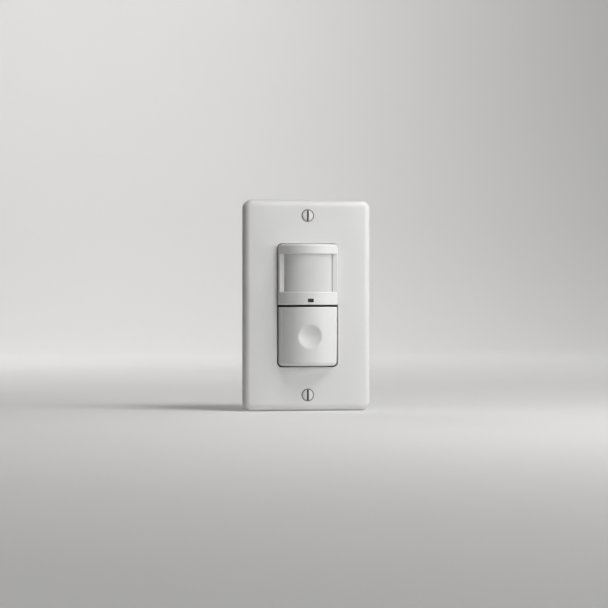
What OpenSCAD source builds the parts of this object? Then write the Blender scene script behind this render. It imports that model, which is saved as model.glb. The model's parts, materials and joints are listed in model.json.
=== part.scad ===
// Wall switch with a passive infrared motion sensor and a hinged push pad.
// Pieces are drawn in a face frame: x to the right, y up, z out from the wall towards the room.
// facing() then stands them upright, so the finished part has +Z up and looks along -Y.
// The origin is the centre of the cover plate, on the wall plane.

/* [Cover plate] */
// Width of the cover plate
plate_w = 69.85; // [66:0.05:90]
// Height of the cover plate
plate_h = 114.3; // [112:0.1:130]
// Depth of the cover plate from the wall to its face
plate_t = 5.6; // [5.4:0.1:7]
// Wall thickness of the cover plate
plate_wall = 2.2; // [1.8:0.1:2.3]
// Radius of the corners of the cover plate seen from the front
plate_corner = 5; // [4.6:0.1:7]
// Radius of the rolled front edge of the cover plate
plate_edge = 4.2; // [3:0.1:4.4]
// Width of the opening in the cover plate
opening_w = 33.3; // [32.6:0.1:34]
// Height of the opening in the cover plate
opening_h = 66.8; // [66:0.1:67.6]
// Corner radius of the opening
opening_r = 2.6; // [1.5:0.1:3]
// Distance between the two cover plate screws
plate_screw_pitch = 96.84; // [96:0.01:98]
// Sideways place of the two stiffening ribs inside the cover plate
plate_rib_x = 26; // [23.5:0.5:29]

/* [Front] */
// Gap between the opening and the moulded front
front_gap = 0.4; // [0.3:0.05:0.6]
// Radius of the curved front, about an upright axis
front_r = 21; // [20:0.5:40]
// Height of the crown of the brow and band above the plate face
band_proud = 9.5; // [9.2:0.1:9.8]
// Height of the two lens posts above the plate face
post_proud = 2.4; // [2.2:0.1:3]
// Wall thickness of the moulded front
front_wall = 1.8; // [1.4:0.1:2.2]
// Height of the brow above the lens
brow_h = 5.4; // [5:0.1:6]
// Height of the lens window
lens_window_h = 20.4; // [18:0.1:21]
// Width of the lens window between the posts
lens_window_w = 26.4; // [25:0.1:27]
// Height of the band below the lens
band_h = 7; // [6.6:0.1:8]
// Fillet along the top of the brow
brow_fillet = 1.4; // [0.6:0.1:2]
// Fillet along the other edges of the brow and band
band_fillet = 0.5; // [0.2:0.1:0.8]
// Thickness of the flange that lies on the strap
flange_t = 1.5; // [1.2:0.1:1.7]
// How far the flange reaches past the moulded front
flange_lap_w = 3; // [2.5:0.1:4]
// How far the flange reaches past the moulded front at its top and bottom
flange_lap_h = 1.75; // [1.2:0.05:2]

/* [Lens] */
// Outer radius of the lens, about an upright axis
lens_r = 16; // [15.6:0.1:16.1]
// Thickness of the lens
lens_t = 0.6; // [0.5:0.05:0.8]
// How far the lens crown lies behind the crown of the band
lens_recess = 0.8; // [0.6:0.1:1.2]
// How far the lens reaches behind its frame all round
lens_lip = 0.6; // [0.4:0.05:0.8]
// Gap around the lens in its rebate
lens_fit = 0.15; // [0.1:0.05:0.2]
// Number of lens segments side by side
lens_segments = 10; // [6:2:12]
// Radius of the seam grooves between the segments
lens_seam_r = 0.22; // [0.15:0.01:0.3]
// Thickness of the frame that holds the lens from behind
retainer_t = 1.2; // [0.8:0.1:1.6]

/* [Status window] */
// Width of the dark window
window_w = 3.15; // [2.5:0.05:4]
// Height of the dark window
window_h = 1.85; // [1.4:0.05:2]
// Height of the window centre above the lower edge of the band
window_rise = 2.4; // [2.3:0.05:3]
// Gap around the window in the band
window_fit = 0.05; // [0.03:0.01:0.1]

/* [Push pad] */
// Gap between the opening and the push pad
button_side_gap = 0.7; // [0.6:0.05:1]
// Gap between the band and the push pad
button_top_gap = 1.1; // [0.9:0.05:1.5]
// How far the pad's upper edge lies behind the band
button_step = 0.4; // [0.2:0.1:0.8]
// Angle at which the pad leans back towards its lower edge
button_lean = 2; // [0:0.5:3]
// Wall thickness of the pad
button_wall = 1.4; // [1.2:0.1:1.6]
// Fillet along the lower edge of the pad
button_low_fillet = 2.2; // [1.8:0.1:3]
// Fillet along the upper edge of the pad
button_top_fillet = 0.6; // [0.3:0.1:1]
// Radius of the finger dimple
dimple_r = 6.35; // [5:0.05:7.5]
// Drop of the dimple centre below the upper edge of the pad
dimple_drop = 15.8; // [13:0.1:18]
// Depth of the dish inside the dimple
dimple_dish = 0.75; // [0.4:0.05:1.2]
// Radius of the hinge pins
pin_r = 1.1; // [0.9:0.05:1.2]
// Gap around the hinge pins
pin_fit = 0.06; // [0.03:0.01:0.1]
// Height of the hinge axis above the deck
hinge_rise = 1.7; // [1.6:0.05:2]
// Distance of the hinge axis above the lower edge of the pad
hinge_inset = 4.7; // [4.4:0.1:6]
// Free travel left between the pad and the switch plunger
press_gap = 0.15; // [0.1:0.05:0.3]

/* [Adjusters] */
// Radius of the two adjuster dials
dial_r = 2.9; // [2:0.1:3.5]
// Sideways place of the adjuster dials
dial_x = 9; // [7.5:0.1:10.5]
// Drop of the adjuster dials below the upper edge of the pad
dial_drop = 7; // [6:0.1:8]

/* [Strap and screws] */
// Thickness of the mounting strap
strap_t = 1.3; // [1:0.1:1.5]
// Gap between the ends of the mounting strap and the ends of the cover plate
strap_margin = 3.95; // [3:0.05:4.5]
// Width of the middle of the strap
strap_w = 44; // [42:0.5:48]
// Width of the ends of the strap
strap_end_w = 30; // [28:0.5:36]
// Distance between the two box screws
box_screw_pitch = 83.34; // [83:0.01:83.7]
// Length of the box screws below their heads
box_screw_l = 25; // [15:0.5:32]
// Radius of the plate and box screws
screw_r = 1.75; // [1.5:0.05:1.9]
// Radius of the plate screw heads
plate_head_r = 3.4; // [3:0.05:3.8]
// Radius of the box screw heads
box_head_r = 3.4; // [3:0.05:3.6]
// Radius of the ground screw head
ground_head_r = 3.2; // [2.8:0.05:3.4]

/* [Rear housing] */
// Width of the rear housing
housing_w = 43; // [42:0.5:48]
// Height of the rear housing
housing_h = 68; // [67:0.5:70]
// Depth of the rear housing behind the wall plane
housing_depth = 31; // [29:0.5:36]
// Wall thickness of the rear housing
housing_wall = 1.8; // [1.5:0.1:2.2]
// Radius of the wire lead exits
lead_r = 1.6; // [1.2:0.1:1.8]
// Number of wire lead exits
lead_count = 4; // [2:1:5]

/* [Hidden] */
$fn = 64;
// Overlap of cuts past the faces that they open
cut = 1;
// Depths along z, from the wall plane towards the room
deck_d = strap_t + flange_t;
crown_d = plate_t + band_proud;
post_d = plate_t + post_proud;
lens_axis_d = crown_d - lens_recess - lens_r;
front_axis_d = crown_d - front_r;
button_crown_d = crown_d - button_step;
// Outline of the moulded front and the heights of its edges
hood_w = opening_w - 2 * front_gap;
hood_h = opening_h - 2 * front_gap;
hood_r = opening_r - front_gap;
lens_top_y = hood_h / 2 - brow_h;
lens_low_y = lens_top_y - lens_window_h;
lens_mid_y = (lens_top_y + lens_low_y) / 2;
band_low_y = lens_low_y - band_h;
rebate_w = lens_window_w + 2 * lens_lip + 2 * lens_fit;
rebate_h = lens_window_h + 2 * lens_lip + 2 * lens_fit;
core_inset = 1.6;
core_shelf = 1.1;
flange_w = hood_w + 2 * flange_lap_w;
flange_h = hood_h + 2 * flange_lap_h;
flange_r = 2;
// Push pad
button_w = opening_w - 2 * button_side_gap;
button_top_y = band_low_y - button_top_gap;
button_low_y = button_side_gap - opening_h / 2;
button_len = (button_top_y - button_low_y) / cos(button_lean);
button_r = opening_r - front_gap;
skirt_lift = 1.6;
skirt_d = deck_d + skirt_lift;
tact_y = button_top_y - dimple_drop * cos(button_lean);
dimple_edge = 0.75;
dimple_rim = 1.2;
dimple_floor = 1.6;
dimple_sphere_r = (dimple_r * dimple_r + dimple_dish * dimple_dish) / (2 * dimple_dish);
pad_depth = dimple_edge + dimple_dish + dimple_floor;
pad_rib_x = 7.4;
pad_rib_t = 1.1;
pad_rib_h = 5;
pad_rib_d = button_crown_d - button_wall - pad_rib_h;
post_r = 2;
// Hinge of the push pad
hinge_y = button_low_y + hinge_inset;
hinge_d = deck_d + hinge_rise;
lug_r = 2.1;
lug_w = 2.2;
lug_gap = 1.7;
ear_r = 2;
ear_lift = 0.4;
ear_in_x = button_w / 2 - button_wall;
lug_out_x = ear_in_x - lug_gap;
pin_run = 0.6;
pin_tip_x = lug_out_x - lug_w - pin_run;
// Corner columns shared by the bezel, the strap and the rear housing
column_in = 4.6;
column_x = housing_w / 2 - column_in;
column_y = housing_h / 2 - column_in;
boss_r = 2.5;
boss_gap = 0.2;
boss_end_d = -8;
column_r = 3.2;
seat_gap = 0.1;
housing_screw_r = 1.2;
housing_screw_head_r = 2.3;
housing_screw_head_h = 2;
housing_screw_head_fit = 0.3;
cross_l = 3;
cross_w = 0.8;
housing_screw_seat_d = -12.2;
pilot_fit = 0.05;
housing_corner = 3;
housing_edge = 2;
// Cover plate fixings
plate_screw_y = plate_screw_pitch / 2;
box_screw_y = box_screw_pitch / 2;
head_room = 0.25;
plate_boss_r = plate_screw_y - box_screw_y - box_head_r - head_room;
head_half_angle = 41;
head_cone_h = (plate_head_r - screw_r) / tan(head_half_angle);
head_fit = 0.1;
head_dome_h = 0.6;
dome_sphere_r = (plate_head_r * plate_head_r + head_dome_h * head_dome_h) / (2 * head_dome_h);
slot_w = 0.9;
slot_depth = 1.3;
plate_screw_tip_d = -6;
plate_rib_t = 1.2;
plate_rib_d = 1;
plate_rib_inset = 12;
rim_t = 1.2;
// Strap openings
strap_l = plate_h - 2 * strap_margin;
strap_window_w = 32;
strap_window_trim = 10;
strap_window_h = housing_h - strap_window_trim;
strap_mid_h = 78;
box_slot_l = 8.4;
box_slot_r = 2.65;
screw_neck_r = 1.5;
ground_x = -11.5;
ground_gap = 4.05;
ground_y = -max(housing_h, flange_h) / 2 - ground_gap;
ground_tip_d = -6;
ear_hole_x = 10.5;
ear_hole_inset = 4.6;
ear_hole_y = strap_l / 2 - ear_hole_inset;
ear_hole_r = 2;
head_h = 1.9;
head_edge = 1.3;
retainer_fit = 0.05;
retainer_sink = 0.2;
// Front board and its parts
board_t = 1.6;
board_d = -3.6;
board_top_d = board_d + board_t;
board_w = 33;
board_end_gap = 4.2;
board_h = housing_h - 2 * board_end_gap;
board_notch = 0.4;
ledge_reach = 4.2;
ledge_l = 6;
ledge_y = 18;
ledge_t = 1.8;
tact_side = 6.2;
tact_top_d = 1.1;
tact_well = 0.9;
plunger_r = 1.7;
plunger_fit = 0.08;
plunger_in = 0.3;
plunger_proud = 0.5;
plunger_top_d = deck_d + plunger_proud;
tact_hole_r = 3.3;
trimmer_side = 6.6;
trimmer_top_d = 0.9;
trimmer_shaft_r = 1;
trimmer_shaft_l = 1.8;
trimmer_fit = 0.06;
dial_lift = 0.1;
dial_gap = 0.4;
dial_proud = 0.2;
dial_slot_w = 0.9;
dial_slot_in = 1.4;
dial_y = button_top_y - dial_drop;
pir_can_r = 4.55;
pir_can_h = 4.2;
pir_flange_r = 5.1;
pir_flange_h = 0.5;
pir_spacer_h = 1.4;
pir_window_w = 4;
pir_window_h = 3;
pir_window_t = 0.4;
window_y = band_low_y + window_rise;
window_flush = 0.1;
window_collar_w = 5.4;
window_collar_h = 2.3;
window_collar_t = 1.2;
window_foot_w = 7.4;
window_foot_x = 1.8;
window_foot_t = 1.4;
window_foot_gap = 0.2;
window_room = 0.15;
led_r = 1;
led_h = 3;
photocell_x = 3.4;
photocell_size = [2.2, 1.7, 2.8];
chip_size = [5.2, 5.2, 1.2];
chip_x = -9.5;
chip_y = 3;
// Rear board and its parts
rear_board_w = 28;
rear_board_end_gap = 9;
rear_board_h = housing_h - 2 * rear_board_end_gap;
rear_floor_d = housing_wall - housing_depth;
rear_board_room = 4.6;
rear_board_d = rear_floor_d + rear_board_room;
rear_top_d = rear_board_d + board_t;
standoff_x = 11.4;
standoff_inset = 3;
standoff_y = rear_board_h / 2 - standoff_inset;
standoff_r = 2.1;
standoff_pin_r = 1;
standoff_pin_fit = 0.1;
relay_size = [15, 19, 14.5];
relay_x = -1;
relay_y = -13;
cap_r = 4;
cap_h = 11.5;
cap_x = 5.6;
cap_y = 16.5;
film_size = [12.5, 5, 10.5];
film_x = -4;
film_y = 10;
varistor_r = 4.3;
varistor_t = 3.2;
varistor_x = 10;
varistor_y = -10;
part_lead_r = 0.35;
resistor_r = 1.5;
resistor_l = 7;
resistor_x = 10;
resistor_y = 2;
header_x = -11.8;
header_pitch = 2.54;
header_pins = 5;
header_w = 2.5;
header_h = 2.6;
// Wire lead exits through the back of the housing
lead_pitch = 4.6;
lead_inset = 6.6;
lead_y = lead_inset - housing_h / 2;
bush_wall = 1.4;
bush_t = 3.2;

// Stands a piece drawn in the face frame upright.
module facing() {
  rotate([90, 0, 0]) children();
}

// Repeats a piece above and below the middle.
module above_and_below(y) {
  for (s = [-1, 1]) translate([0, s * y, 0]) children();
}

// Repeats a piece left and right of the middle, mirrored.
module both_sides() {
  for (s = [0, 1]) mirror([s, 0, 0]) children();
}

// Repeats a piece at four corners.
module at_corners(x, y) {
  for (sx = [-1, 1], sy = [-1, 1]) translate([sx * x, sy * y, 0]) children();
}

// Rectangle with round corners.
module rounded(w, h, r) {
  square([w - 2 * r, h], center = true);
  square([w, h - 2 * r], center = true);
  for (sx = [-1, 1], sy = [-1, 1]) translate([sx * (w / 2 - r), sy * (h / 2 - r)]) circle(r);
}

// Long hole with round ends, lying along x.
module long_hole(l, r) {
  square([l - 2 * r, 2 * r], center = true);
  for (s = [-1, 1]) translate([s * (l / 2 - r), 0]) circle(r);
}

// Centred block that stands on z = 0.
module block(size) {
  translate([-size[0] / 2, -size[1] / 2, 0]) cube(size);
}

// Half section of a rolled edge: width l, thickness t, outer corner rounded.
module edge_section(l, t, edge) {
  square([l - edge, t]);
  square([l, t - edge]);
  translate([l - edge, t - edge]) intersection() {
    circle(edge);
    square(edge);
  }
}

// Block with round corners and a rolled front edge, with its back on z = 0.
module rolled_block(w, h, t, corner, edge) {
  rotate([90, 0, 0]) linear_extrude(h - 2 * corner, center = true) {
    for (s = [0, 1]) mirror([s, 0]) edge_section(w / 2, t, edge);
  }
  for (s = [0, 1]) mirror([0, s, 0]) {
    translate([0, h / 2 - corner, 0])
      rotate([90, 0, 90]) linear_extrude(w - 2 * corner, center = true) edge_section(corner, t, edge);
    both_sides() translate([w / 2 - corner, h / 2 - corner, 0])
      rotate_extrude(angle = 90) edge_section(corner, t, edge);
  }
}

// Revolves an outline of radius and height about an upright axis at depth d.
module around_upright(d) {
  translate([0, 0, d]) rotate([-90, 0, 0]) rotate_extrude() children();
}

// Section of a curved bar whose two outer edges are rounded.
module bar_section(r, y_low, y_high, low_fillet, high_fillet) {
  difference() {
    translate([0, y_low]) square([r, y_high - y_low]);
    translate([r - low_fillet, y_low + low_fillet]) difference() {
      translate([0, -low_fillet]) square(low_fillet);
      circle(low_fillet);
    }
    translate([r - high_fillet, y_high - high_fillet]) difference() {
      square(high_fillet);
      circle(high_fillet);
    }
  }
}

// Rolled cover plate with its opening, screw bosses and stiffening ribs.
module wall_plate() {
  rim_d = deck_d + seat_gap;
  ceiling_d = plate_t - plate_wall;
  color("white") facing() difference() {
    union() {
      difference() {
        rolled_block(plate_w, plate_h, plate_t, plate_corner, plate_edge);
        translate([0, 0, -cut]) rolled_block(
          plate_w - 2 * plate_wall, plate_h - 2 * plate_wall, ceiling_d + cut,
          plate_corner - plate_wall, plate_edge - plate_wall
        );
      }
      above_and_below(plate_screw_y) translate([0, 0, strap_t])
        cylinder(h = ceiling_d + plate_wall / 2 - strap_t, r = plate_boss_r);
      both_sides() translate([plate_rib_x, plate_rib_inset - plate_h / 2, plate_rib_d])
        cube([plate_rib_t, plate_h - 2 * plate_rib_inset, ceiling_d + plate_wall / 2 - plate_rib_d]);
      translate([0, 0, rim_d]) linear_extrude(ceiling_d + plate_wall / 2 - rim_d)
        rounded(opening_w + 2 * rim_t, opening_h + 2 * rim_t, opening_r + rim_t);
    }
    translate([0, 0, -cut]) linear_extrude(plate_t + 2 * cut) rounded(opening_w, opening_h, opening_r);
    above_and_below(plate_screw_y) {
      cylinder(h = plate_t + cut, r = screw_r + head_fit);
      translate([0, 0, plate_t - head_cone_h])
        cylinder(h = head_cone_h, r1 = screw_r + head_fit, r2 = plate_head_r + head_fit);
    }
  }
}

// Two slotted oval-head screws through the cover plate into the strap.
module plate_screws() {
  color("whitesmoke") facing() above_and_below(plate_screw_y) difference() {
    union() {
      translate([0, 0, plate_screw_tip_d])
        cylinder(h = plate_t - head_cone_h - plate_screw_tip_d, r = screw_r);
      translate([0, 0, plate_t - head_cone_h]) cylinder(h = head_cone_h, r1 = screw_r, r2 = plate_head_r);
      intersection() {
        translate([0, 0, plate_t + head_dome_h - dome_sphere_r]) sphere(dome_sphere_r);
        translate([0, 0, plate_t]) cylinder(h = head_dome_h + cut, r = plate_head_r + cut);
      }
    }
    translate([0, 0, plate_t + head_dome_h - slot_depth])
      block([slot_w, 2 * plate_head_r + cut, slot_depth + cut]);
  }
}

// Outline of the moulded front above the push pad.
module hood_outline() {
  intersection() {
    rounded(hood_w, hood_h, hood_r);
    translate([-hood_w / 2, band_low_y]) square([hood_w, hood_h / 2 - band_low_y]);
  }
}

// Curved brow and band, cut to the outline of the front.
module hood() {
  intersection() {
    translate([0, 0, strap_t]) linear_extrude(crown_d) hood_outline();
    around_upright(front_axis_d) {
      bar_section(front_r, lens_top_y, hood_h / 2, band_fillet, brow_fillet);
      bar_section(front_r, band_low_y, lens_low_y, band_fillet, band_fillet);
    }
  }
}

// Space behind the front wall, open to the back, between two heights.
module hood_core(y_low, y_high) {
  intersection() {
    translate([-rebate_w / 2, y_low, 0]) cube([rebate_w, y_high - y_low, crown_d]);
    around_upright(front_axis_d) translate([0, y_low]) square([front_r - front_wall, y_high - y_low]);
  }
}

// Moulded front body: flange and deck, hood, lens posts, hinge lugs and rear screw bosses.
module sensor_bezel() {
  color("snow") facing() difference() {
    union() {
      translate([0, 0, strap_t]) linear_extrude(flange_t) rounded(flange_w, flange_h, flange_r);
      hood();
      both_sides() translate([lens_window_w / 2, lens_low_y - core_shelf, strap_t])
        cube([(hood_w - lens_window_w) / 2, lens_window_h + 2 * core_shelf, post_d - strap_t]);
      both_sides() translate([lug_out_x - lug_w, hinge_y, hinge_d]) rotate([0, 90, 0])
        cylinder(h = lug_w, r = lug_r);
      both_sides() translate([lug_out_x - lug_w, hinge_y - lug_r, strap_t])
        cube([lug_w, 2 * lug_r, hinge_d - strap_t]);
      at_corners(column_x, column_y) translate([0, 0, boss_end_d])
        cylinder(h = deck_d - boss_end_d - flange_t / 2, r = boss_r);
    }
    intersection() {
      translate([-rebate_w / 2, lens_mid_y - rebate_h / 2, 0]) cube([rebate_w, rebate_h, crown_d]);
      around_upright(lens_axis_d) translate([0, lens_mid_y - rebate_h / 2])
        square([lens_r + lens_fit, rebate_h]);
    }
    hood_core(window_y - window_h / 2 - window_room, lens_low_y - lens_lip - lens_fit - core_shelf);
    hood_core(lens_top_y + lens_lip + lens_fit + core_shelf, hood_h / 2 - core_inset);
    translate([0, window_y, 0])
      block([window_w + 2 * window_fit, window_h + 2 * window_fit, crown_d + cut]);
    translate([0, tact_y, 0]) cylinder(h = deck_d + cut, r = tact_hole_r);
    both_sides() translate([dial_x, dial_y, 0]) cylinder(h = deck_d + cut, r = dial_r + dial_gap);
    both_sides() translate([lug_out_x - lug_w - cut, hinge_y, hinge_d]) rotate([0, 90, 0])
      cylinder(h = lug_w + 2 * cut, r = pin_r + pin_fit);
    at_corners(column_x, column_y) translate([0, 0, boss_end_d - cut])
      cylinder(h = strap_t - boss_end_d + cut / 2, r = housing_screw_r + pilot_fit);
  }
}

// Curved lens with its segment seams on the inner side.
module fresnel_lens() {
  lens_w = lens_window_w + 2 * lens_lip;
  lens_h = lens_window_h + 2 * lens_lip;
  inner_r = lens_r - lens_t;
  seam_step = 2 * asin(lens_window_w / 2 / lens_r) / lens_segments;
  color("ghostwhite") facing() difference() {
    intersection() {
      around_upright(lens_axis_d) translate([inner_r, lens_mid_y - lens_h / 2])
        square([lens_t, lens_h]);
      translate([-lens_w / 2, lens_mid_y - lens_h / 2, 0]) cube([lens_w, lens_h, crown_d]);
    }
    for (i = [1 : lens_segments - 1]) {
      turn = (i - lens_segments / 2) * seam_step;
      translate([inner_r * sin(turn), lens_mid_y, lens_axis_d + inner_r * cos(turn)])
        rotate([90, 0, 0]) cylinder(h = lens_h + 2 * cut, r = lens_seam_r, center = true);
    }
  }
}

// Curved frame behind the lens, with two legs that stand on the front board.
module lens_retainer() {
  outer_r = lens_r - lens_t - lens_fit;
  inner_r = outer_r - retainer_t;
  frame_w = lens_window_w + lens_fit;
  frame_h = lens_window_h + 2 * lens_lip - lens_fit;
  bar = 1.4;
  leg_h = 8;
  leg_top_d = lens_axis_d + sqrt(inner_r * inner_r - pow(frame_w / 2 - bar, 2));
  color("gainsboro") facing() {
    difference() {
      intersection() {
        around_upright(lens_axis_d) translate([inner_r, lens_mid_y - frame_h / 2])
          square([retainer_t, frame_h]);
        translate([-frame_w / 2, lens_mid_y - frame_h / 2, 0]) cube([frame_w, frame_h, crown_d]);
      }
      translate([0, lens_mid_y, 0]) block([frame_w - 2 * bar, frame_h - 2 * bar, crown_d]);
    }
    both_sides() translate([frame_w / 2 - bar, lens_mid_y - leg_h / 2, board_top_d])
      cube([bar, leg_h, leg_top_d - board_top_d]);
  }
}

// Dark light pipe that shows in the band.
module status_window() {
  rear_d = board_top_d + led_h + window_foot_gap;
  front_d = crown_d - window_flush;
  core_r = front_r - front_wall;
  collar_top_d = front_axis_d + sqrt(core_r * core_r - pow(window_collar_w / 2, 2)) - seat_gap;
  color("dimgray") facing() {
    translate([0, window_y, rear_d]) block([window_w, window_h, front_d - rear_d]);
    translate([0, window_y + (window_collar_h - window_h) / 2, collar_top_d - window_collar_t])
      block([window_collar_w, window_collar_h, window_collar_t]);
    translate([window_foot_x, window_y, rear_d]) block([window_foot_w, window_h, window_foot_t]);
  }
}

// Frame on the crown of the push pad: y along its upper to lower edge, z out of its face.
module button_frame() {
  translate([0, button_top_y, button_crown_d]) rotate([button_lean, 0, 0]) children();
}

// Curved, leaning body of the push pad, drawn in by the given wall.
module button_body(inset, from_d) {
  w = button_w - 2 * inset;
  tall = 2 * (button_top_y - button_low_y);
  low_f = max(button_low_fillet - inset, button_top_fillet);
  intersection() {
    translate([0, 0, from_d]) linear_extrude(crown_d) intersection() {
      translate([0, button_low_y + inset + tall / 2]) rounded(w, tall, button_r - inset / 2);
      translate([-w / 2, button_low_y]) square([w, button_top_y - inset - button_low_y]);
    }
    button_frame() around_upright(-front_r)
      bar_section(front_r - inset, inset - button_len, -inset, low_f, button_top_fillet);
  }
}

// Push pad: hollow curved shell with a dished dimple, a switch post, ribs and two hinge pins.
module push_button() {
  post_tip_d = plunger_top_d + press_gap;
  post_top_d = button_crown_d - dimple_drop * sin(button_lean) - pad_depth + dimple_floor / 2;
  rib_top_y = button_top_y - button_wall;
  rib_l = rib_top_y - hinge_y - 2 * lug_r;
  color("snow") facing() {
    difference() {
      button_body(0, skirt_d);
      difference() {
        button_body(button_wall, skirt_d - cut);
        button_frame() translate([0, -dimple_drop, -pad_depth])
          cylinder(h = pad_depth + cut, r = dimple_r + dimple_rim);
        both_sides() translate([pad_rib_x, rib_top_y - rib_l, pad_rib_d])
          cube([pad_rib_t, rib_l + cut, crown_d]);
      }
      button_frame() translate([0, -dimple_drop, 0]) intersection() {
        translate([0, 0, dimple_sphere_r - dimple_edge - dimple_dish]) sphere(dimple_sphere_r);
        cylinder(h = 2 * pad_depth, r = dimple_r, center = true);
      }
    }
    translate([0, tact_y, post_tip_d]) cylinder(h = post_top_d - post_tip_d, r = post_r);
    both_sides() {
      translate([ear_in_x, hinge_y - ear_r, deck_d + ear_lift])
        cube([button_wall, 2 * ear_r, skirt_lift - ear_lift + ear_r]);
      translate([pin_tip_x, hinge_y, hinge_d]) rotate([0, 90, 0])
        cylinder(h = ear_in_x + button_wall / 2 - pin_tip_x, r = pin_r);
    }
  }
}

// Body of the switch under the push pad.
module tact_switch() {
  color("dimgray") facing() translate([0, tact_y, board_top_d]) difference() {
    block([tact_side, tact_side, tact_top_d - board_top_d]);
    translate([0, 0, tact_top_d - board_top_d - plunger_in - tact_well])
      cylinder(h = plunger_in + tact_well + cut, r = plunger_r + plunger_fit);
  }
}

// Plunger that the push pad's post drives into the switch.
module tact_plunger() {
  low_d = tact_top_d - plunger_in;
  color("ivory") facing() translate([0, tact_y, low_d]) cylinder(h = plunger_top_d - low_d, r = plunger_r);
}

// Base of one adjuster on the front board.
module trimmer_base() {
  h = trimmer_top_d - board_top_d;
  difference() {
    translate([0, 0, board_top_d]) block([trimmer_side, trimmer_side, h]);
    translate([0, 0, trimmer_top_d - trimmer_shaft_l - dial_lift])
      cylinder(h = trimmer_shaft_l + dial_lift + cut, r = trimmer_shaft_r + trimmer_fit);
  }
}

// Slotted dial of one adjuster, with the shaft that turns in its base.
module trimmer_dial() {
  low_d = trimmer_top_d + dial_lift;
  top_d = deck_d + dial_proud;
  shaft_d = trimmer_top_d - trimmer_shaft_l;
  difference() {
    union() {
      translate([0, 0, low_d]) cylinder(h = top_d - low_d, r = dial_r);
      translate([0, 0, shaft_d]) cylinder(h = low_d + dial_lift - shaft_d, r = trimmer_shaft_r);
    }
    translate([-dial_slot_w / 2, -dial_slot_in, top_d - dial_slot_w])
      cube([dial_slot_w, dial_r + dial_slot_in + cut, dial_slot_w + cut]);
  }
}

module time_trimmer_base() {
  color("royalblue") facing() translate([-dial_x, dial_y, 0]) trimmer_base();
}

module time_dial() {
  color("ivory") facing() translate([-dial_x, dial_y, 0]) trimmer_dial();
}

module light_trimmer_base() {
  color("royalblue") facing() translate([dial_x, dial_y, 0]) trimmer_base();
}

module light_dial() {
  color("ivory") facing() translate([dial_x, dial_y, 0]) trimmer_dial();
}

// Front circuit board, notched round the four screw bosses.
module sensor_board() {
  color("seagreen") facing() translate([0, 0, board_d]) linear_extrude(board_t) difference() {
    square([board_w, board_h], center = true);
    at_corners(column_x, column_y) circle(boss_r + board_notch);
  }
}

// Seat that lifts the infrared sensor off the board.
module pir_spacer() {
  color("white") facing() translate([0, lens_mid_y, board_top_d]) difference() {
    cylinder(h = pir_spacer_h, r = pir_flange_r);
    translate([0, 0, -cut]) cylinder(h = pir_spacer_h + 2 * cut, r = pir_flange_r / 2);
  }
}

// Metal can of the infrared sensor with a recess for its filter window.
module pir_sensor() {
  color("silver") facing() translate([0, lens_mid_y, board_top_d + pir_spacer_h]) difference() {
    union() {
      cylinder(h = pir_flange_h, r = pir_flange_r);
      cylinder(h = pir_can_h, r = pir_can_r);
    }
    translate([0, 0, pir_can_h - pir_window_t]) block([pir_window_w, pir_window_h, pir_window_t + cut]);
  }
}

module pir_window() {
  seat_d = board_top_d + pir_spacer_h + pir_can_h - pir_window_t;
  color("darkslategray") facing() translate([0, lens_mid_y, seat_d])
    block([pir_window_w, pir_window_h, pir_window_t]);
}

// Small indicator lamp with a round tip.
module status_led() {
  color("limegreen") facing() translate([0, window_y, board_top_d]) {
    cylinder(h = led_h - led_r, r = led_r);
    translate([0, 0, led_h - led_r]) sphere(led_r);
  }
}

module photocell() {
  color("black") facing() translate([photocell_x, window_y, board_top_d]) block(photocell_size);
}

module controller_chip() {
  color("black") facing() translate([chip_x, chip_y, board_top_d]) block(chip_size);
}

// Rear circuit board on its four standoff pins.
module power_board() {
  color("darkgreen") facing() translate([0, 0, rear_board_d]) linear_extrude(board_t) difference() {
    square([rear_board_w, rear_board_h], center = true);
    at_corners(standoff_x, standoff_y) circle(standoff_pin_r + standoff_pin_fit);
  }
}

module relay() {
  color("black") facing() translate([relay_x, relay_y, rear_top_d]) block(relay_size);
}

// Round can capacitor with a rolled bead near its foot.
module reservoir_capacitor() {
  bead_r = 0.5;
  bead_rise = 2;
  color("midnightblue") facing() translate([cap_x, cap_y, rear_top_d]) rotate_extrude() difference() {
    square([cap_r, cap_h]);
    translate([cap_r, bead_rise]) circle(bead_r);
  }
}

module film_capacitor() {
  color("firebrick") facing() translate([film_x, film_y, rear_top_d]) block(film_size);
}

// Disc surge absorber standing on two leads.
module varistor() {
  lift = 1;
  color("steelblue") facing() translate([varistor_x, varistor_y, rear_top_d]) {
    translate([0, 0, lift + varistor_r]) rotate([0, 90, 0])
      cylinder(h = varistor_t, r = varistor_r, center = true);
    above_and_below(varistor_r / 2) cylinder(h = lift + varistor_r, r = part_lead_r);
  }
}

// Axial resistor with thicker end caps, standing on its leads.
module fusible_resistor() {
  cap_l = 1.4;
  cap_extra = 0.25;
  lift = resistor_r + cap_extra;
  color("tan") facing() translate([resistor_x, resistor_y, rear_top_d]) {
    translate([0, resistor_l / 2, lift]) rotate([90, 0, 0]) rotate_extrude() {
      square([resistor_r, resistor_l]);
      square([resistor_r + cap_extra, cap_l]);
      translate([0, resistor_l - cap_l]) square([resistor_r + cap_extra, cap_l]);
    }
    above_and_below(resistor_l / 2 - cap_l / 2) cylinder(h = lift, r = part_lead_r);
  }
}

// Pin row that joins the two boards.
module board_header() {
  span = board_d - rear_top_d;
  color("dimgray") facing() translate([header_x, 0, rear_top_d]) {
    block([header_w, header_pins * header_pitch, header_h]);
    for (i = [0 : header_pins - 1]) translate([0, (i - (header_pins - 1) / 2) * header_pitch, 0])
      cylinder(h = span, r = part_lead_r);
  }
}

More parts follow.
